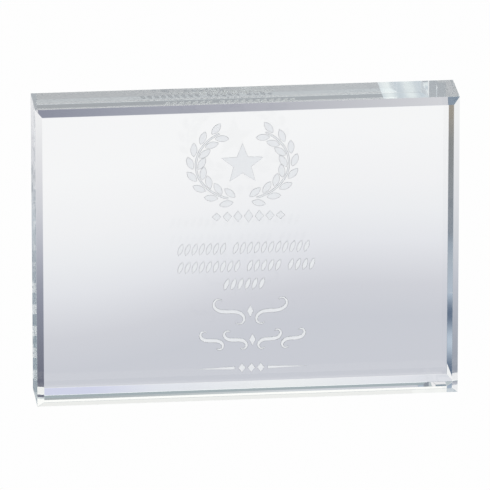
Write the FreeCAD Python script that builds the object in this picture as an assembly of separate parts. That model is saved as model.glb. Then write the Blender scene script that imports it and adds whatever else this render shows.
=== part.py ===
import FreeCAD, Part
import math
import os

# Crystal award: one upright block of clear optical crystal, with a 45 degree chamfer round its front
# face and round its back face, and frosted artwork cut into the front face.
# Millimetres. +Z is up, +X is the viewer's right, and the front face looks along -Y.
# The origin is at the centre of the bottom face.

# the block
WIDTH = 152.0
HEIGHT = 112.0
THICKNESS = 24.0
CHAMFER = 2.3

# the sandblasted artwork, by zone: centre across, centre up, width and height
CUT_DEPTH = 0.2
EMBLEM = (-2.2, 90.0, 42.0, 31.0)
GEM_ROW = (0.0, 70.4, 26.8, 4.6)
TITLE_UPPER = (-1.8, 58.4)
TITLE_MIDDLE = (-0.8, 51.6)
TITLE_LOWER = (-1.6, 44.8)
SCROLL_UPPER = (0.6, 34.4, 27.0, 1)
SCROLL_LOWER = (1.4, 23.6, 38.0, 2)
DATE_ROW = (1.0, 12.9, 40.0, 3.4)

# the pointed leaves of the title bands
LEAF_HEIGHT = 4.5
LEAF_WIDTH = 1.5
LEAF_SLANT = 20.0
LEAF_PITCH = 2.55
GROUP_GAP = 2.0

# the laurel wreath round the star: leaf pairs up each branch, from its foot to its tip
WREATH_PAIRS = 8
WREATH_FOOT = -72.0
WREATH_SWEEP = 132.0
WREATH_LEAF_LENGTH = 4.9
WREATH_LEAF_WIDTH = 2.2
WREATH_LEAF_LEAN = 26.0
WREATH_LEAF_OFFSET = 2.1
STEM_WIDTH = 0.5
STAR_RADIUS = 7.8
STAR_WAIST = 0.42

# the tapered S strokes of the scrolls
SCROLL_STROKE = 1.3
SCROLL_TIP = 0.2
SCROLL_TURN = 4.1
SCROLL_FLATTEN = 0.95
SCROLL_STEPS = 12
SCROLL_GAP = 1.9
SCROLL_FILL = 0.94

# small lozenges and rules
CENTRE_GEM = (2.2, 4.4)
GEM_COUNT = 7
GEM_FILL = 0.78
GEM_FALL = 0.12
DATE_GEM_WIDTH = 2.6
DATE_GEM_PITCH = 3.4
RULE_START = 6.0
RULE_HEIGHT = 1.1

FRONT = -THICKNESS / 2


def point(across, up):
    """A point on the front face."""
    return FreeCAD.Vector(across, FRONT, up)


def cut_prism(outline):
    """The solid that fills one cut of the artwork, from its closed outline on the front face."""
    return Part.Face(outline).extrude(FreeCAD.Vector(0, CUT_DEPTH, 0))


def polygon(corners):
    """A closed straight-sided outline."""
    return Part.makePolygon([point(*c) for c in corners] + [point(*corners[0])])


def lozenge(across, up, width, height):
    corners = [(across - width / 2, up), (across, up - height / 2),
               (across + width / 2, up), (across, up + height / 2)]
    return cut_prism(polygon(corners))


def leaf(across, up, length, width, lean):
    """A pointed leaf made of two arcs, centred on the point, leaning this many degrees from upright."""
    angle = math.radians(lean)
    along = (math.sin(angle) * length / 2, math.cos(angle) * length / 2)
    side = (math.cos(angle) * width / 2, -math.sin(angle) * width / 2)
    tip = point(across + along[0], up + along[1])
    foot = point(across - along[0], up - along[1])
    right = point(across + side[0], up + side[1])
    left = point(across - side[0], up - side[1])
    edges = [Part.Arc(foot, right, tip).toShape(), Part.Arc(tip, left, foot).toShape()]
    return cut_prism(Part.Wire(edges))


def star(across, up, radius):
    corners = []
    for i in range(10):
        angle = math.radians(90 + 36 * i)
        r = radius if i % 2 == 0 else radius * STAR_WAIST
        corners.append((across + r * math.cos(angle), up + r * math.sin(angle)))
    return cut_prism(polygon(corners))


def s_curve():
    """Points and headings along an S: its heading grows with the square of the distance from its middle."""
    fine = 10
    half = [(0.0, 0.0, 0.0)]
    x = y = 0.0
    for i in range(1, SCROLL_STEPS * fine + 1):
        along = (i - 0.5) / (SCROLL_STEPS * fine)
        heading = SCROLL_TURN * along * along
        x += math.cos(heading)
        y += math.sin(heading)
        if i % fine == 0:
            half.append((x, y, SCROLL_TURN * (i / (SCROLL_STEPS * fine)) ** 2))
    mirrored = [(-px, -py, heading) for px, py, heading in half[1:]]
    return mirrored[::-1] + half


def scroll(across, up, length, hand):
    """A tapered S stroke, this long from curl to curl; hand is 1, or -1 for its mirror image."""
    line = s_curve()
    scale = length / (2 * max(px for px, py, heading in line))
    upper = []
    lower = []
    for i, (px, py, heading) in enumerate(line):
        swell = math.sin(math.pi * i / (len(line) - 1))
        half_width = (SCROLL_TIP + (SCROLL_STROKE - SCROLL_TIP) * swell) / 2
        run = math.cos(heading)
        rise = math.sin(heading) * SCROLL_FLATTEN
        dx = -rise / math.hypot(run, rise) * half_width
        dz = run / math.hypot(run, rise) * half_width
        x = px * scale
        z = py * scale * SCROLL_FLATTEN
        upper.append(point(across + hand * (x + dx), up + z + dz))
        lower.append(point(across + hand * (x - dx), up + z - dz))
    sides = []
    for points in (upper, lower):
        side = Part.BSplineCurve()
        side.interpolate(points)
        sides.append(side.toShape())
    ends = [Part.makeLine(upper[0], lower[0]), Part.makeLine(upper[-1], lower[-1])]
    return cut_prism(Part.Wire(Part.__sortEdges__(sides + ends)))


def branch(across, up, rx, rz, side):
    """One laurel branch: a thin stem along an ellipse, with a pair of leaves at each step."""
    foot = math.radians(WREATH_FOOT)
    sweep = math.radians(WREATH_SWEEP)
    pieces = []
    for i in range(WREATH_PAIRS):
        turn = foot + sweep * i / (WREATH_PAIRS - 1)
        out = (math.cos(turn), math.sin(turn))
        lean = math.degrees(math.atan2(-rx * out[1], rz * out[0]))
        for row in (-1, 1):
            x = rx * out[0] + row * WREATH_LEAF_OFFSET * out[0]
            z = rz * out[1] + row * WREATH_LEAF_OFFSET * out[1]
            pieces.append(leaf(across + side * x, up + z, WREATH_LEAF_LENGTH, WREATH_LEAF_WIDTH,
                               side * (lean + row * WREATH_LEAF_LEAN)))
    rims = []
    for grow in (-STEM_WIDTH / 2, STEM_WIDTH / 2):
        rim = []
        for i in range(WREATH_PAIRS):
            turn = foot + sweep * i / (WREATH_PAIRS - 1)
            rim.append(point(across + side * (rx + grow) * math.cos(turn), up + (rz + grow) * math.sin(turn)))
        curve = Part.BSplineCurve()
        curve.interpolate(rim)
        rims.append((curve.toShape(), rim))
    ends = [Part.makeLine(rims[0][1][i], rims[1][1][i]) for i in (0, -1)]
    stem = cut_prism(Part.Wire(Part.__sortEdges__([rims[0][0], rims[1][0]] + ends)))
    return pieces + [stem]


def emblem():
    """A five-point star between two laurel branches that rise from the bottom."""
    across, up, width, height = EMBLEM
    rx = width / 2 - WREATH_LEAF_OFFSET - WREATH_LEAF_WIDTH
    rz = height / 2 - WREATH_LEAF_OFFSET
    return branch(across, up, rx, rz, -1) + branch(across, up, rx, rz, 1) + [star(across, up, STAR_RADIUS)]


def gem_row():
    """A short row of lozenges under the emblem, the tallest at its middle."""
    across, up, width, height = GEM_ROW
    pitch = width / GEM_COUNT
    pieces = []
    for i in range(GEM_COUNT):
        place = i - (GEM_COUNT - 1) / 2
        gem_height = height * (1 - GEM_FALL * abs(place))
        pieces.append(lozenge(across + pitch * place, up, pitch * GEM_FILL, gem_height))
    return pieces


def leaf_band(centre, groups):
    """A band of slanted leaves in groups, centred on the point."""
    across, up = centre
    total = LEAF_PITCH * (sum(groups) - 1) + GROUP_GAP * (len(groups) - 1)
    place = across - total / 2
    pieces = []
    for count in groups:
        for _ in range(count):
            pieces.append(leaf(place, up, LEAF_HEIGHT, LEAF_WIDTH, LEAF_SLANT))
            place += LEAF_PITCH
        place += GROUP_GAP
    return pieces


def title_bands():
    return leaf_band(TITLE_UPPER, (7, 11)) + leaf_band(TITLE_MIDDLE, (9, 5, 4)) + leaf_band(TITLE_LOWER, (6,))


def scroll_line(across, up, width, each_side):
    """S scrolls on both sides of a lozenge, mirrored about it."""
    length = (width / 2 - SCROLL_GAP) / each_side
    pieces = [lozenge(across, up, *CENTRE_GEM)]
    for side in (-1, 1):
        for i in range(each_side):
            middle = across + side * (SCROLL_GAP + length * (i + 0.5))
            pieces.append(scroll(middle, up, length * SCROLL_FILL, side))
    return pieces


def date_row():
    """Three lozenges between two long tapered rules."""
    across, up, width, height = DATE_ROW
    pieces = [lozenge(across + DATE_GEM_PITCH * i, up, DATE_GEM_WIDTH, height) for i in (-1, 0, 1)]
    for side in (-1, 1):
        start = across + side * RULE_START
        tip = across + side * width / 2
        corners = [(start, up - RULE_HEIGHT / 2), (tip, up), (start, up + RULE_HEIGHT / 2)]
        pieces.append(cut_prism(polygon(corners)))
    return pieces


def chamfered_block():
    """The whole block before it is engraved: a box with its front and back edges cut at 45 degrees."""
    box = Part.makeBox(WIDTH, THICKNESS, HEIGHT, FreeCAD.Vector(-WIDTH / 2, FRONT, 0))
    rims = []
    for edge in box.Edges:
        ys = [v.Point.y for v in edge.Vertexes]
        if abs(ys[0] - ys[1]) < 1e-6:
            rims.append(edge)
    return box.makeChamfer(CHAMFER, rims)


def main():
    os.makedirs("parts", exist_ok=True)
    artwork = {
        "engraved_emblem": emblem(),
        "engraved_gem_row": gem_row(),
        "engraved_title_bands": title_bands(),
        "engraved_scrolls": scroll_line(*SCROLL_UPPER) + scroll_line(*SCROLL_LOWER),
        "engraved_date_row": date_row(),
    }
    block = chamfered_block()
    for name, pieces in artwork.items():
        block = block.cut(Part.makeCompound(pieces))
        Part.makeCompound(pieces).exportStep(f"parts/{name}.step")
    block.exportStep("parts/crystal_block.step")
    print("block volume", round(block.Volume), "mm3, valid", block.isValid())


main()
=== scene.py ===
import math
import bpy
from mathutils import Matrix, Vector


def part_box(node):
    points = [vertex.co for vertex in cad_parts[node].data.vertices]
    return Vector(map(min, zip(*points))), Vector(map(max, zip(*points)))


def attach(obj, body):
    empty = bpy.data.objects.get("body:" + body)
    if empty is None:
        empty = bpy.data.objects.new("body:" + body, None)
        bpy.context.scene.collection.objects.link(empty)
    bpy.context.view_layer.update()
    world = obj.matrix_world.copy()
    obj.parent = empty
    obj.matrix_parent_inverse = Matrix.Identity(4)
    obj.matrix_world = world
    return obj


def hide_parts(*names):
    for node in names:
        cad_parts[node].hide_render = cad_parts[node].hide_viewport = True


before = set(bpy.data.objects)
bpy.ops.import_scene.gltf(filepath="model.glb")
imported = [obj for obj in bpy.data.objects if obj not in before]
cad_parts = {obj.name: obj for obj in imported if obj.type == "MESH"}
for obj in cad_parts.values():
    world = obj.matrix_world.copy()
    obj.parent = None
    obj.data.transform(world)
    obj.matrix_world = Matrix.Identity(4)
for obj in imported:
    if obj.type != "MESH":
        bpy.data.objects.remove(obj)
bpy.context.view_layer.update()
mm = 0.001

# ---------------------------------------------------------------------------------------------------
# The crystal block. One solid piece of clear optical crystal, sawn and ground to size, with a 45 degree
# chamfer ground round its front face and round its back face. Every face is polished, every edge has a
# narrow polished arris, and the sandblasted pockets of the artwork are cut into the front face.
chamfer = 2.3 * mm
arris = 0.05 * mm
pocket_clearance = 0.11 * mm
merge_distance = 0.0005 * mm
crystal_index = 1.517
artwork = ["engraved_emblem", "engraved_gem_row", "engraved_title_bands", "engraved_scrolls", "engraved_date_row"]
block_low, block_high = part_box("crystal_block")
block_size = block_high - block_low
block_middle = (block_low + block_high) / 2


def only(piece):
    """Deselects everything, then selects this piece and makes it active."""
    bpy.ops.object.select_all(action="DESELECT")
    piece.select_set(True)
    bpy.context.view_layer.objects.active = piece


def bevel_edges(piece, wanted, width):
    """Puts a flat bevel on the edges whose two ends the test accepts."""
    only(piece)
    bpy.ops.object.mode_set(mode="EDIT")
    bpy.ops.mesh.select_mode(type="EDGE")
    bpy.ops.mesh.select_all(action="DESELECT")
    bpy.ops.object.mode_set(mode="OBJECT")
    corners = piece.data.vertices
    for edge in piece.data.edges:
        edge.select = wanted(corners[edge.vertices[0]].co, corners[edge.vertices[1]].co)
    bpy.ops.object.mode_set(mode="EDIT")
    bpy.ops.mesh.bevel(offset_type="OFFSET", offset=width, segments=1, affect="EDGES")
    bpy.ops.object.mode_set(mode="OBJECT")


bpy.ops.object.select_all(action="DESELECT")
bpy.ops.mesh.primitive_cube_add(size=1, location=block_middle, scale=block_size)
crystal = bpy.context.object
crystal.name = "polished_crystal"
bpy.ops.object.transform_apply(location=True, rotation=True, scale=True)
bevel_edges(crystal, lambda a, b: abs(a.y - b.y) < chamfer / 2, chamfer)
bevel_edges(crystal, lambda a, b: True, arris)

for name in artwork:
    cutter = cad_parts[name].copy()
    cutter.data = cutter.data.copy()
    cutter.parent = None
    bpy.context.scene.collection.objects.link(cutter)
    only(cutter)
    bpy.ops.object.mode_set(mode="EDIT")
    bpy.ops.mesh.select_all(action="SELECT")
    bpy.ops.mesh.remove_doubles(threshold=merge_distance)
    bpy.ops.mesh.normals_make_consistent(inside=False)
    bpy.ops.transform.shrink_fatten(value=pocket_clearance)
    bpy.ops.object.mode_set(mode="OBJECT")
    cut = crystal.modifiers.new("sandblasted_pockets", "BOOLEAN")
    cut.operation = "DIFFERENCE"
    cut.solver = "EXACT"
    cut.object = cutter
    only(crystal)
    bpy.ops.object.modifier_apply(modifier=cut.name)
    bpy.data.objects.remove(cutter)
bpy.ops.object.shade_flat()


def new_material(name):
    """A material with its node tree and its Principled shader."""
    material = bpy.data.materials.new(name)
    material.use_nodes = True
    return material, material.node_tree, material.node_tree.nodes["Principled BSDF"]


def noise(tree, scale, detail=2.0):
    """Noise over the piece's own coordinates, in cells of about one over the scale, in metres."""
    place = tree.nodes.new("ShaderNodeTexCoord")
    texture = tree.nodes.new("ShaderNodeTexNoise")
    texture.inputs["Scale"].default_value = scale
    texture.inputs["Detail"].default_value = detail
    tree.links.new(place.outputs["Object"], texture.inputs["Vector"])
    return texture.outputs["Fac"]


def two_tone(tree, source, first, second):
    """Runs from one colour to the other over the middle of the noise's range."""
    tones = tree.nodes.new("ShaderNodeValToRGB")
    for element, position, colour in zip(tones.color_ramp.elements, (0.3, 0.7), (first, second)):
        element.position = position
        element.color = (*colour, 1)
    tree.links.new(source, tones.inputs["Fac"])
    return tones.outputs["Color"]


def matt_roughness(tree, source, shader):
    """Lets the roughness vary a little with the grit's marks."""
    reach = tree.nodes.new("ShaderNodeMapRange")
    reach.inputs["To Min"].default_value = 0.6
    reach.inputs["To Max"].default_value = 0.8
    tree.links.new(source, reach.inputs["Value"])
    tree.links.new(reach.outputs["Result"], shader.inputs["Roughness"])


# clear, with faint clouds of tint
glass, tree, shader = new_material("optical_crystal")
shader.inputs["Transmission Weight"].default_value = 1.0
shader.inputs["IOR"].default_value = crystal_index
shader.inputs["Roughness"].default_value = 0.0
tint = two_tone(tree, noise(tree, 14.0), (0.984, 0.992, 0.990), (0.994, 0.998, 0.997))
tree.links.new(tint, shader.inputs["Base Color"])

# the walls and bottoms of the pockets, left matt by the grit, with painted shade: dark grey to the camera as shade
# in the gaps round the artwork, and a lighter copy where seen through the crystal
matt, tree, shader = new_material("pocket_walls_painted_shade")
shader.inputs["IOR"].default_value = crystal_index
grit = noise(tree, 9000.0)
matt_roughness(tree, grit, shader)
# painted shade: camera rays get the dark grey tones, every other ray gets the lighter colour
path = tree.nodes.new("ShaderNodeLightPath")
tone = tree.nodes.new("ShaderNodeMixRGB")
tone.inputs["Color1"].default_value = (0.80, 0.845, 0.865, 1)
tree.links.new(path.outputs["Is Camera Ray"], tone.inputs["Fac"])
tree.links.new(two_tone(tree, grit, (0.40, 0.41, 0.43), (0.50, 0.51, 0.53)), tone.inputs["Color2"])
tree.links.new(tone.outputs["Color"], shader.inputs["Base Color"])

crystal.data.materials.clear()
for material in (glass, matt):
    crystal.data.materials.append(material)
# a pocket's faces reach deeper than the arrises and less deep than the chamfer
shallowest = 0.1 * mm
deepest = 1 * mm
for face in crystal.data.polygons:
    depth = max(crystal.data.vertices[i].co.y for i in face.vertices) - block_low.y
    if shallowest < depth < deepest:
        face.material_index = 1
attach(crystal, "root")
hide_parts("crystal_block")

# ---------------------------------------------------------------------------------------------------
# The sandblasted artwork: a wreath and star, a row of lozenges, bands of leaves, scrolls and rules.
# The real piece is the same crystal as the block, roughened white to about a fifth of a millimetre deep
# by grit blown through a stencil. It has a fine even grain.
pit_depth = 0.05 * mm
frost, tree, shader = new_material("frosted_cut")
shader.inputs["IOR"].default_value = crystal_index
shader.inputs["Transmission Weight"].default_value = 0.0
grain = noise(tree, 9000.0, detail=3.0)
tree.links.new(two_tone(tree, grain, (0.82, 0.82, 0.835), (0.89, 0.89, 0.90)), shader.inputs["Base Color"])
matt_roughness(tree, grain, shader)
pits = tree.nodes.new("ShaderNodeBump")
pits.inputs["Strength"].default_value = 0.25
pits.inputs["Distance"].default_value = pit_depth
tree.links.new(grain, pits.inputs["Height"])
tree.links.new(pits.outputs["Normal"], shader.inputs["Normal"])
for name in artwork:
    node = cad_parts[name]
    node.data.materials.clear()
    node.data.materials.append(frost)

# ---------------------------------------------------------------------------------------------------
# The floor: plain white, and seen by the camera only. Under the block lies a second floor that only the
# crystal sees. It glows with painted shade and painted streaks of light, standing for a table that the block
# throws light on.
floor_drop = 0.3 * mm
under_drop = 0.2 * mm
under_margin = 6 * mm


def linear(colour):
    """A colour given in screen values from 0 to 255, as linear light."""
    return [(c / 255) ** 2.2 for c in colour]


def ramp(tree, source, low, high, stops):
    """A colour ramp over a range of the source, from stops of (value, screen colour)."""
    reach = tree.nodes.new("ShaderNodeMapRange")
    reach.inputs["From Min"].default_value = low
    reach.inputs["From Max"].default_value = high
    tree.links.new(source, reach.inputs["Value"])
    colours = tree.nodes.new("ShaderNodeValToRGB")
    line = colours.color_ramp
    while len(line.elements) < len(stops):
        line.elements.new(0.5)
    for element, (value, colour) in zip(line.elements, stops):
        element.position = (value - low) / (high - low)
        element.color = (*linear(colour), 1)
    tree.links.new(reach.outputs["Result"], colours.inputs["Fac"])
    return colours.outputs["Color"]


def set_input(tree, socket, value):
    """Links a socket to another node's output, or sets it to a plain value."""
    if isinstance(value, bpy.types.NodeSocket):
        tree.links.new(value, socket)
    else:
        socket.default_value = value


def blend(tree, kind, factor, first, second):
    """Mixes or multiplies two colours."""
    mix = tree.nodes.new("ShaderNodeMix")
    mix.data_type = "RGBA"
    mix.blend_type = kind
    for name, value in (("Factor", factor), ("A", first), ("B", second)):
        set_input(tree, [s for s in mix.inputs if s.name == name and s.enabled][0], value)
    return [s for s in mix.outputs if s.enabled][0]


def glowing_material(name):
    """A material that only gives light, with its node tree and the socket of its colour."""
    material, tree, shader = new_material(name)
    tree.nodes.remove(shader)
    glow = tree.nodes.new("ShaderNodeEmission")
    tree.links.new(glow.outputs["Emission"], tree.nodes["Material Output"].inputs["Surface"])
    return material, tree, glow.inputs["Color"]


bpy.ops.object.select_all(action="DESELECT")
bpy.ops.mesh.primitive_plane_add(size=60, location=(0, 0, -floor_drop))
floor = bpy.context.object
floor.name = "floor"
white, tree, colour = glowing_material("white_floor")
colour.default_value = (0.99, 0.99, 0.99, 1)
floor.data.materials.append(white)
for kind in ("diffuse", "glossy", "transmission", "volume_scatter", "shadow"):
    setattr(floor, "visible_" + kind, False)

bpy.ops.mesh.primitive_plane_add(size=1, location=(0, 0, -under_drop))
under = bpy.context.object
under.name = "floor_under_block"
under.scale = (block_size.x, block_size.y + under_margin, 1)
bpy.ops.object.transform_apply(location=True, rotation=True, scale=True)
lit, tree, colour = glowing_material("floor_painted_shade_and_light")
place = tree.nodes.new("ShaderNodeTexCoord")
split = tree.nodes.new("ShaderNodeSeparateXYZ")
tree.links.new(place.outputs["Object"], split.inputs["Vector"])
# painted shade: a dim glowing floor under the block, with even painted streaks of light near the right end
streak_spacing = 8 * mm
streak_phase = 4.55
streaks_from = 59.5 * mm
across = split.outputs["X"]
painted_shade_under_block = ramp(tree, across, -block_size.x / 2, block_size.x / 2, [(-0.06, (125, 131, 139)), (0.058, (134, 142, 151))])
# a wave texture has a crest for each full turn of 20 times its scale
wave = tree.nodes.new("ShaderNodeTexWave")
wave.inputs["Scale"].default_value = 2 * math.pi / (20 * streak_spacing)
wave.inputs["Phase Offset"].default_value = streak_phase
tree.links.new(place.outputs["Object"], wave.inputs["Vector"])
painted_light_streaks = ramp(tree, wave.outputs["Fac"], 0, 1, [(0, (182, 195, 205)), (1, (220, 230, 232))])
at_right_end = tree.nodes.new("ShaderNodeMath")
at_right_end.operation = "GREATER_THAN"
at_right_end.inputs[1].default_value = streaks_from
tree.links.new(across, at_right_end.inputs[0])
tree.links.new(blend(tree, "MIX", at_right_end.outputs[0], painted_shade_under_block, painted_light_streaks), colour)
under.data.materials.append(lit)
under.visible_camera = False
under.visible_shadow = False

# ---------------------------------------------------------------------------------------------------
# The studio round the block, plain white to the camera. The crystal looks through itself at a pale table
# with the block's shadow painted on it below its far edge, a soft backdrop, and darker cards and a wall at the
# sides.
# Its tones go by direction: degrees above the horizon, and degrees right of straight behind the block.
world = bpy.data.worlds.new("studio")
bpy.context.scene.world = world
world.use_nodes = True
tree = world.node_tree
background = tree.nodes["Background"]
place = tree.nodes.new("ShaderNodeTexCoord")
split = tree.nodes.new("ShaderNodeSeparateXYZ")
tree.links.new(place.outputs["Generated"], split.inputs["Vector"])


def calculate(operation, *values):
    """A Math node on sockets and plain numbers."""
    step = tree.nodes.new("ShaderNodeMath")
    step.operation = operation
    for socket, value in zip(step.inputs, values):
        set_input(tree, socket, value)
    return step.outputs[0]


def product(first, *others):
    """Where all of these masks meet."""
    for other in others:
        first = calculate("MULTIPLY", first, other)
    return first


def fade(source, start, end):
    """0 on the start's side, 1 on the end's side, and smooth between them."""
    reach = tree.nodes.new("ShaderNodeMapRange")
    reach.interpolation_type = "SMOOTHSTEP"
    reach.inputs["From Min"].default_value = min(start, end)
    reach.inputs["From Max"].default_value = max(start, end)
    reach.inputs["To Min"].default_value = float(start > end)
    reach.inputs["To Max"].default_value = float(start < end)
    tree.links.new(source, reach.inputs["Value"])
    return reach.outputs["Result"]


def put_over(light, mask, tone):
    """Lays a tone over the studio where the mask says."""
    return blend(tree, "MIX", mask, light, tone)


rise = calculate("MULTIPLY", calculate("ARCSINE", split.outputs["Z"]), 180 / math.pi)
turn = calculate("MULTIPLY", calculate("ARCTAN2", split.outputs["X"], split.outputs["Y"]), 180 / math.pi)

# painted shadow of the block on the table behind it: below the table's far edge the tone falls over about a degree
# and a half, sooner on the right
tilt = calculate("MULTIPLY", fade(turn, 4.6, 6.7), 0.35)
table_with_painted_shadow = ramp(tree, calculate("SUBTRACT", rise, tilt), -19.8, -18.2,
             [(-19.7, (201, 203, 211)), (-19.5, (208, 209, 216)), (-19.22, (228, 229, 234)),
              (-19.03, (236, 237, 240)), (-18.85, (241, 241, 243)), (-18.5, (246, 246, 247))])

# the backdrop above the table, and the softbox overhead
backdrop = ramp(tree, rise, -18, 90,
                [(-12, (250, 250, 250)), (9, (250, 250, 250)), (13, (246, 246, 243)),
                 (20, (253, 253, 250)), (45, (225, 230, 230)), (80, (158, 171, 175))])
light = put_over(table_with_painted_shadow, fade(rise, -18, -14), backdrop)

# a dark line across the table, short of its far edge
line_tone = ramp(tree, turn, 4.5, 7.5,
                 [(4.7, (156, 163, 166)), (5.8, (190, 196, 198)), (6.5, (214, 219, 222)),
                  (7.2, (222, 226, 229))])
light = put_over(light, product(fade(rise, -19.80, -19.84), fade(rise, -20.6, -20.3)), line_tone)

# painted light and shade on the table near the block: dim on the left, and bright on the right
near_block_painted_light_and_shade = ramp(tree, turn, 5, 11,
                 [(5.9, (154, 156, 171)), (6.9, (188, 189, 198)), (7.9, (213, 211, 216)),
                  (8.9, (241, 239, 238)), (9.9, (270, 267, 262))])
light = blend(tree, "MULTIPLY", fade(rise, -24, -44), light, near_block_painted_light_and_shade)

# a darker card low behind on the right, one on the left, and a narrow post between them
card_low = -20
card_high = -17.8
right_card = product(fade(turn, 20, 30), fade(turn, 60, 40))
right_tone = ramp(tree, rise, card_low, card_high,
                  [(-19.75, (122, 123, 136)), (-19.2, (175, 177, 188)), (-18.7, (222, 222, 226)),
                   (-18, (255, 255, 255))])
light = blend(tree, "MULTIPLY", right_card, light, right_tone)
left_card = product(fade(turn, -14, -20), fade(turn, -62, -40), fade(rise, -19.80, -19.74))
left_tone = ramp(tree, rise, card_low, card_high,
                 [(-19.7, (142, 148, 160)), (-19.35, (168, 172, 182)), (-19.1, (187, 190, 199)),
                  (-18.85, (204, 206, 211)), (-18.6, (218, 219, 223)), (-18.1, (237, 237, 238))])
light = put_over(light, left_card, left_tone)
post = product(fade(turn, -1, -4), fade(turn, -13, -9))
post_tone = ramp(tree, rise, card_low, card_high,
                 [(-19.7, (130, 145, 155)), (-19.0, (146, 157, 167)), (-18.8, (165, 175, 185)),
                  (-18.5, (182, 186, 193)), (-18.3, (201, 202, 208)), (-18.1, (218, 219, 223)),
                  (-17.9, (240, 240, 240))])
light = put_over(light, post, post_tone)

# the darker wall on the left
wall = product(fade(turn, -68, -78), fade(turn, -135, -118), fade(rise, 50, 30))
wall_foot = (*linear((122, 136, 153)), 1)
wall_top = (*linear((185, 195, 203)), 1)
wall_tone = ramp(tree, rise, -19.4, -18,
                 [(-19.2, (172, 184, 198)), (-19.0, (163, 174, 185)), (-18.9, (145, 157, 170)),
                  (-18.83, (122, 131, 142)), (-18.25, (126, 127, 127)), (-18.08, (148, 142, 132))])
wall_tone = put_over(wall_tone, fade(rise, -21, -28), wall_foot)
wall_tone = put_over(wall_tone, fade(rise, -17.9, -17), wall_top)
light = put_over(light, wall, wall_tone)

# a slatted window high in the wall
slats_per_degree = 18.0
slats_start = 2.25
waves = calculate("SINE", calculate("MULTIPLY_ADD", rise, slats_per_degree, slats_start))
slats = calculate("MULTIPLY_ADD", waves, 0.5, 0.5)
window_tone = ramp(tree, slats, 0, 1, [(0, (92, 108, 130)), (1, (178, 192, 207))])
light = put_over(light, product(wall, fade(rise, 18.4, 18.8)), window_tone)

# a band of changing tone low on the backdrop
band = product(fade(rise, 2, 6), fade(rise, 12, 10.5), fade(turn, 2.5, 4), fade(turn, 9.5, 8))
band_tone = ramp(tree, turn, 4.5, 7.5,
                 [(4.7, (210, 213, 235)), (5.1, (228, 231, 239)), (5.9, (240, 242, 243)),
                  (6.6, (230, 232, 238)), (7.2, (214, 216, 223))])
light = put_over(light, band, band_tone)

path = tree.nodes.new("ShaderNodeLightPath")
from_camera = path.outputs["Is Camera Ray"]
tree.links.new(put_over(light, from_camera, (0.99, 0.99, 0.99, 1)), background.inputs["Color"])

# the key softbox, high behind the camera, adds to the light there
key_strength = 0.75
key = product(fade(split.outputs["Y"], -0.1, -0.4), fade(rise, 5, 25), calculate("SUBTRACT", 1.0, from_camera))
tree.links.new(calculate("MULTIPLY_ADD", key, key_strength, 1.0), background.inputs["Strength"])

# ---------------------------------------------------------------------------------------------------
# The camera: a long lens a few metres off, a little left of the front and looking down.
camera_turn = math.radians(5.96)
camera_fall = math.radians(18.91)
camera_distance = 3.267
aim = Vector((-0.0013, -0.012, 0.0595))
lens = bpy.data.cameras.new("camera")
lens.lens = 671.4
lens.sensor_width = 36
lens.clip_end = 100
camera = bpy.data.objects.new("camera", lens)
bpy.context.scene.collection.objects.link(camera)
look = Vector((math.sin(camera_turn) * math.cos(camera_fall),
               math.cos(camera_turn) * math.cos(camera_fall), -math.sin(camera_fall)))
camera.location = aim - look * camera_distance
camera.rotation_euler = look.to_track_quat("-Z", "Y").to_euler()
bpy.context.scene.camera = camera
bpy.context.scene.view_settings.view_transform = "Standard"

# light bounces inside the block many times before it leaves, most of all near its chamfers
for kind in ("max_bounces", "glossy_bounces", "transmission_bounces"):
    setattr(bpy.context.scene.cycles, kind, 64)
